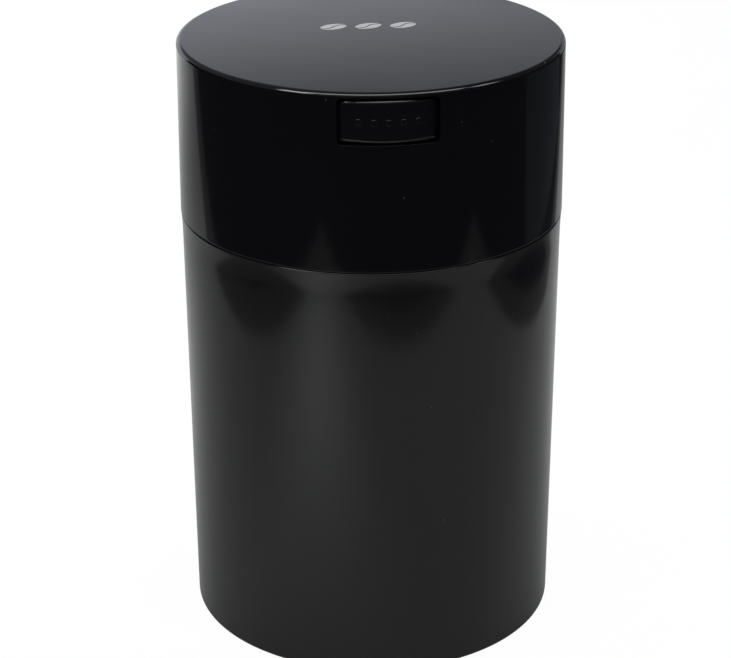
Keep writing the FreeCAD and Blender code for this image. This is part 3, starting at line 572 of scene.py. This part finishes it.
def addSpigot(bm, root, level):
    middle = root + button["spigotLength"] / 2
    verts = bmesh.ops.create_cone(bm, cap_ends=True, segments=button["spigotSides"],
                                  radius1=button["spigotRadius"], radius2=button["spigotRadius"],
                                  depth=button["spigotLength"])["verts"]
    bmesh.ops.rotate(bm, verts=verts, cent=(0, 0, 0), matrix=Matrix.Rotation(math.pi / 2, 3, "X"))
    bmesh.ops.translate(bm, verts=verts, vec=(0, middle, level))
    tip = [edge for edge in edgesOf(verts) if all(vert.co.y > middle for vert in edge.verts)]
    roundOff(bm, tip, button["spigotRound"], 4)


def makeButton():
    low, high = boxOf("press_button")
    middle = (low.z + high.z) / 2
    face = button["faceRadius"]
    edge = button["edgeRound"]
    stop = button["stopFront"]
    outline = dict(half=button["half"], low=low.z, high=high.z, corner=edge + button["cornerExtra"],
                   cuts=button["cuts"], sideShare=button["sideShare"])
    stations = [(0, stop)]
    for step in range(button["edgeSteps"] + 1):
        turn = step * math.pi / 2 / button["edgeSteps"]
        stations.append((edge * (math.cos(turn) - 1), face - edge * (1 - math.sin(turn))))
    bm = bmesh.new()
    skinLoops(bm, outline, stations)
    # the face becomes upright strips, so that it follows the lid's curve
    front = max(bm.faces, key=lambda item: (len(item.verts), -item.calc_center_median().y))
    places = sorted({round(vert.co.x, 4) for vert in front.verts})
    strips = [front] + front.verts[:] + front.edges[:]
    for place in places[1:-1]:
        made = bmesh.ops.bisect_plane(bm, geom=strips, dist=1e-3, plane_co=(place, 0, 0), plane_no=(1, 0, 0))
        strips = made["geom"]
    # the face swells in the middle: its ends fall back and its upper and lower edges draw in there
    for vert in bm.verts:
        share = (vert.co.x / button["half"]) ** 2
        drawn = button["drawTop"] if vert.co.z > middle else button["drawLow"]
        vert.co.z -= share * drawn * (vert.co.z - middle) / (high.z - middle)
        whole = math.sqrt(face ** 2 - vert.co.x ** 2) - stop
        depth = max(0, -vert.co.y - stop) / whole
        vert.co.y = min(vert.co.y, -stop) + depth * share * button["fallBack"]
    addPips(bm, middle)
    plateBack = -stop + button["stopThick"]
    addPlate(bm, Vector((low.x, -stop, low.z)), Vector((high.x, plateBack, high.z)))
    for side in (button["armInner"], -button["armInner"] - button["armWidth"]):
        addArm(bm, side, low.z, high.y)
    addSpigot(bm, plateBack, middle)
    bmesh.ops.recalc_face_normals(bm, faces=bm.faces)
    piece = finishPiece("button_shell", bm, buttonGloss, "press_button")
    weightNormals(piece)
    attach(piece, "button")


makeButton()
print("button made")

# Seal: a silicone band with two rounded lips that wipe the jar's mouth
seal = dict(steps=240, inner=53.5, band=55.25, bandRound=0.15, lipEdge=0.3, lipFlank=0.6, lipLand=0.6,
            lipRound=0.28)


def makeSeal():
    low, high = boxOf("lid_seal")
    band, lip = seal["band"], high.x
    bandRound, lipRound = seal["bandRound"], seal["lipRound"]
    lipHeight = 2 * seal["lipFlank"] + seal["lipLand"]
    corners = [(seal["inner"], low.z), (band, low.z, bandRound)]
    for start in (low.z + seal["lipEdge"], high.z - seal["lipEdge"] - lipHeight):
        crown = start + seal["lipFlank"]
        corners += [
            (band, start, bandRound),
            (lip, crown, lipRound),
            (lip, crown + seal["lipLand"], lipRound),
            (band, start + lipHeight, bandRound),
        ]
    corners += [(band, high.z, bandRound), (seal["inner"], high.z)]
    bm = bmesh.new()
    addWire(bm, corners, closed=True)
    spinAll(bm, seal["steps"])
    piece = finishPiece("seal_lips", bm, sealSilicone, "lid_seal", sharp=50)
    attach(piece, "seal_ring")


makeSeal()
print("seal made")

# Springs: round wire with one close turn at each end, from their fixed seat to the piece that they push
springs = {
    "button_spring": dict(piece="button_coil", pushes="button", alongY=True, wire=0.8, radius=3.4,
                          openTurns=5),
    "valve_spring": dict(piece="valve_coil", pushes="valve", alongY=False, wire=0.5, radius=4.4,
                         openTurns=1),
}
coil = dict(closeGap=0.45, sides=14, stepsPerTurn=32)


def makeCoil(nodeName, spring):
    low, high = boxOf(nodeName)
    length = high.y - low.y if spring["alongY"] else high.z - low.z
    wire = spring["wire"]
    closePitch = wire + coil["closeGap"]
    openPitch = (length - wire - 2 * closePitch) / spring["openTurns"]
    bm = bmesh.new()
    ring = bmesh.ops.create_circle(bm, segments=coil["sides"], radius=wire / 2)["verts"]
    bmesh.ops.rotate(bm, verts=ring, cent=(0, 0, 0), matrix=Matrix.Rotation(math.pi / 2, 3, "X"))
    bmesh.ops.translate(bm, verts=ring, vec=(spring["radius"], 0, wire / 2))
    geom = bm.verts[:] + bm.edges[:]
    for pitch, turns in ((closePitch, 1), (openPitch, spring["openTurns"]), (closePitch, 1)):
        geom = bmesh.ops.spin(bm, geom=geom, cent=(0, 0, 0), axis=(0, 0, 1), angle=fullTurn * turns,
                              dvec=(0, 0, pitch / coil["stepsPerTurn"]), steps=coil["stepsPerTurn"] * turns,
                              use_merge=False)["geom_last"]
    closeUp(bm)
    middle = (low + high) / 2
    if spring["alongY"]:
        start = Vector((middle.x, high.y, middle.z))
        end = Vector((middle.x, low.y, middle.z))
        turn = Matrix.Rotation(math.pi / 2, 4, "X")
        bmesh.ops.transform(bm, matrix=Matrix.Translation(start) @ turn, verts=bm.verts)
    else:
        start = Vector((middle.x, middle.y, high.z))
        end = Vector((middle.x, middle.y, low.z))
        bmesh.ops.translate(bm, verts=bm.verts, vec=end)
    piece = finishPiece(spring["piece"], bm, springWire, nodeName, sharp=60)
    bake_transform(piece)


for springNode, springSizes in springs.items():
    makeCoil(springNode, springSizes)
print("springs made")

# Camera: fitted to the rims, seam and sides in the photograph
view = dict(lens=112.59, sensor=36.0, distance=750.74, aimHeight=94.04, aimAside=-2.02, pitch=23.58,
            azimuth=-4.9, roll=-0.23, clip=50.0)


def makeCamera():
    camera = addObject("photoCamera", bpy.data.cameras.new("photoCamera"))
    camera.data.lens = view["lens"]
    camera.data.sensor_width = view["sensor"]
    camera.data.clip_start = view["clip"] * mm
    pitch = math.radians(view["pitch"])
    azimuth = math.radians(view["azimuth"])
    back = Vector((math.sin(azimuth) * math.cos(pitch), -math.cos(azimuth) * math.cos(pitch),
                   math.sin(pitch)))
    right = Vector((math.cos(azimuth), math.sin(azimuth), 0))
    aim = Vector((0, 0, view["aimHeight"] * mm))
    camera.location = aim + back * view["distance"] * mm
    look = aim + right * view["aimAside"] * mm - camera.location
    turn = look.to_track_quat("-Z", "Y").to_matrix().to_4x4()
    roll = Matrix.Rotation(math.radians(view["roll"]), 4, "Z")
    camera.matrix_world = Matrix.Translation(camera.location) @ turn @ roll
    bpy.context.scene.camera = camera


makeCamera()

# Floor: a sheet, white to the camera, in gloss and through glass, that keeps a little of the object's shadow
# size is in metres, drop in millimetres
floor = dict(size=6.0, drop=0.3, white=0.97, colour="#ececea")


def whiteRays(tree):
    # 1 for the rays that show the white background: seen straight, mirrored or through glass
    path = addNode(tree, "LightPath", {})
    seen = addNode(tree, "Math", {0: path.outputs["Is Camera Ray"], 1: path.outputs["Is Glossy Ray"]},
                   operation="ADD")
    return addNode(tree, "Math", {0: seen.outputs[0], 1: path.outputs["Is Transmission Ray"]},
                   operation="ADD", use_clamp=True).outputs[0]


def makeFloor():
    bm = bmesh.new()
    bmesh.ops.create_grid(bm, x_segments=1, y_segments=1, size=floor["size"] / 2)
    bmesh.ops.translate(bm, verts=bm.verts, vec=(0, 0, -floor["drop"] * mm))
    plane = addMesh("studioFloor", bm)
    material, tree = newMaterial("white_paper_floor")
    paper = addNode(tree, "BsdfDiffuse", {"Color": linear(floor["colour"])})
    glow = addNode(tree, "Emission", {"Color": (1, 1, 1, 1), "Strength": 1.0})
    shown = addNode(tree, "MixShader", {0: floor["white"], 1: paper.outputs[0], 2: glow.outputs[0]})
    shader = addNode(tree, "MixShader", {0: whiteRays(tree), 1: paper.outputs[0], 2: shown.outputs[0]})
    finishMaterial(tree, shader)
    plane.data.materials.append(material)


makeFloor()

# Cards set out for black gloss, which only reflections see: a grey sheet that the object stands on, its
# darker margin, dark cloth around both, and black flags upright at the sides and in front
# below is in millimetres, corners and the flags' sizes are in metres
cards = [
    dict(name="greySheet", below=0.1, colour="#9c9c9a",
         corners=[(-0.21, -0.355), (0.33, -0.248), (0.265, 0.15), (0.6, 1.5), (-1.2, 1.5), (-0.345, 0.12)]),
    dict(name="sheetMargin", below=0.15, colour="#5c5c5a",
         corners=[(-0.255, -0.405), (0.385, -0.28), (0.3, 0.15), (0.66, 1.5), (-1.35, 1.5), (-0.4, 0.12)]),
    dict(name="dimCloth", below=0.2, colour="#494b4e",
         corners=[(0.38, 0.02), (1.45, 0.1), (1.06, 1.06), (0.38, 0.4)]),
    dict(name="blackCloth", below=0.25, colour="#2f2f31",
         corners=[(-1.5, -1.5), (1.5, -1.5), (1.5, 1.5), (-1.5, 1.5)]),
]
flags = dict(reach=1.5, height=0.7, colour="#3c3c3e",
             turns={"leftFlag": -90, "frontFlag": 0, "rightFlag": 90})


def addCard(name, corners, colour):
    bm = bmesh.new()
    bm.faces.new([bm.verts.new(corner) for corner in corners])
    card = addMesh(name, bm)
    material, tree = newMaterial(name)
    finishMaterial(tree, addNode(tree, "BsdfDiffuse", {"Color": linear(colour)}))
    card.data.materials.append(material)
    card.visible_camera = False
    card.visible_diffuse = False
    card.visible_shadow = False


def makeCards():
    for card in cards:
        addCard(card["name"], [(x, y, -card["below"] * mm) for x, y in card["corners"]], card["colour"])
    reach, height = flags["reach"], flags["height"]
    upright = [(-reach, 0), (reach, 0), (reach, height), (-reach, height)]
    for name, degrees in flags["turns"].items():
        turn = Matrix.Rotation(math.radians(degrees), 3, "Z")
        addCard(name, [turn @ Vector((x, -reach, z)) for x, z in upright], flags["colour"])


makeCards()

# World: white to the camera; in gloss and through glass the same backdrop is a little cool, and dimmer above
# 15 degrees and to the right; a soft fill for everything else
# dimFrom, dimTo and side are heights and a width on a sphere of radius 1
sky = dict(fill=0.55, colour="#eef1fb", dimFrom=0.26, dimTo=0.318, highTone=0.22, side=0.3, rightTone=0.4)


def makeWorld():
    world = bpy.data.worlds.new("studioWorld")
    bpy.context.scene.world = world
    world.use_nodes = True
    tree = world.node_tree
    tree.nodes.clear()
    axes = addNode(tree, "SeparateXYZ", {"Vector": addNode(tree, "TexCoord", {}).outputs["Generated"]})
    rise = addNode(tree, "MapRange", {
        "Value": axes.outputs["Z"], "From Min": sky["dimFrom"], "From Max": sky["dimTo"],
        "To Min": 1.0, "To Max": sky["highTone"]})
    across = addNode(tree, "MapRange", {
        "Value": axes.outputs["X"], "From Min": 0.0, "From Max": sky["side"],
        "To Min": 1.0, "To Max": sky["rightTone"]})
    backdrop = addNode(tree, "Math", {0: rise.outputs[0], 1: across.outputs[0]}, operation="MULTIPLY")
    straight = addNode(tree, "LightPath", {}).outputs["Is Camera Ray"]
    shown = addNode(tree, "Mix", {"Factor": straight, 2: backdrop.outputs[0], 3: 1.0})
    strength = addNode(tree, "Mix", {"Factor": whiteRays(tree), 2: sky["fill"], 3: shown.outputs[0]})
    colour = addNode(tree, "MixRGB", {
        "Fac": straight, "Color1": linear(sky["colour"]), "Color2": (1, 1, 1, 1)})
    background = addNode(tree, "Background", {"Color": colour.outputs[0], "Strength": strength.outputs[0]})
    addNode(tree, "OutputWorld", {"Surface": background.outputs[0]})


makeWorld()

# Lamps, in degrees and metres: a wide soft box over the front, a smaller one at each side, a narrow one that
# pools light on the sheet at the left, and two that shine straight down on the sheet behind
lamps = [
    dict(name="topBox", azimuth=9, elevation=67, distance=1.1, wide=1.3, deep=0.4, watts=6.2),
    dict(name="leftBox", azimuth=-55, elevation=45, distance=1.1, wide=0.3, deep=0.3, watts=2.6),
    dict(name="rightBox", azimuth=75, elevation=45, distance=1.1, wide=0.25, deep=0.25, watts=0.8),
    dict(name="poolBox", azimuth=-33, elevation=40, distance=0.6, wide=0.06, deep=0.06, watts=0.1, spread=22,
         aim=(-0.14, -0.21, 0.0)),
    dict(name="backBox", azimuth=180, elevation=90, distance=0.6, wide=0.5, deep=0.1, watts=0.4, spread=50,
         aim=(0.0, 0.2, 0.0)),
    dict(name="farBox", azimuth=180, elevation=90, distance=0.6, wide=0.7, deep=0.2, watts=1.5, spread=60,
         aim=(-0.25, 0.65, 0.0)),
]
lampDefaults = dict(spread=180, aim=(0.0, 0.0, 0.1))


def makeLamps():
    for lamp in lamps:
        data = bpy.data.lights.new(lamp["name"], "AREA")
        data.shape = "RECTANGLE"
        data.size = lamp["wide"]
        data.size_y = lamp["deep"]
        data.energy = lamp["watts"]
        data.spread = math.radians(lamp.get("spread", lampDefaults["spread"]))
        light = addObject(lamp["name"], data)
        azimuth = math.radians(lamp["azimuth"])
        elevation = math.radians(lamp["elevation"])
        away = Vector((math.sin(azimuth) * math.cos(elevation), -math.cos(azimuth) * math.cos(elevation),
                       math.sin(elevation)))
        light.location = Vector(lamp.get("aim", lampDefaults["aim"])) + away * lamp["distance"]
        light.rotation_euler = (-away).to_track_quat("-Z", "Y").to_euler()


makeLamps()
bpy.context.scene.view_settings.view_transform = "Standard"
print("stage lit")
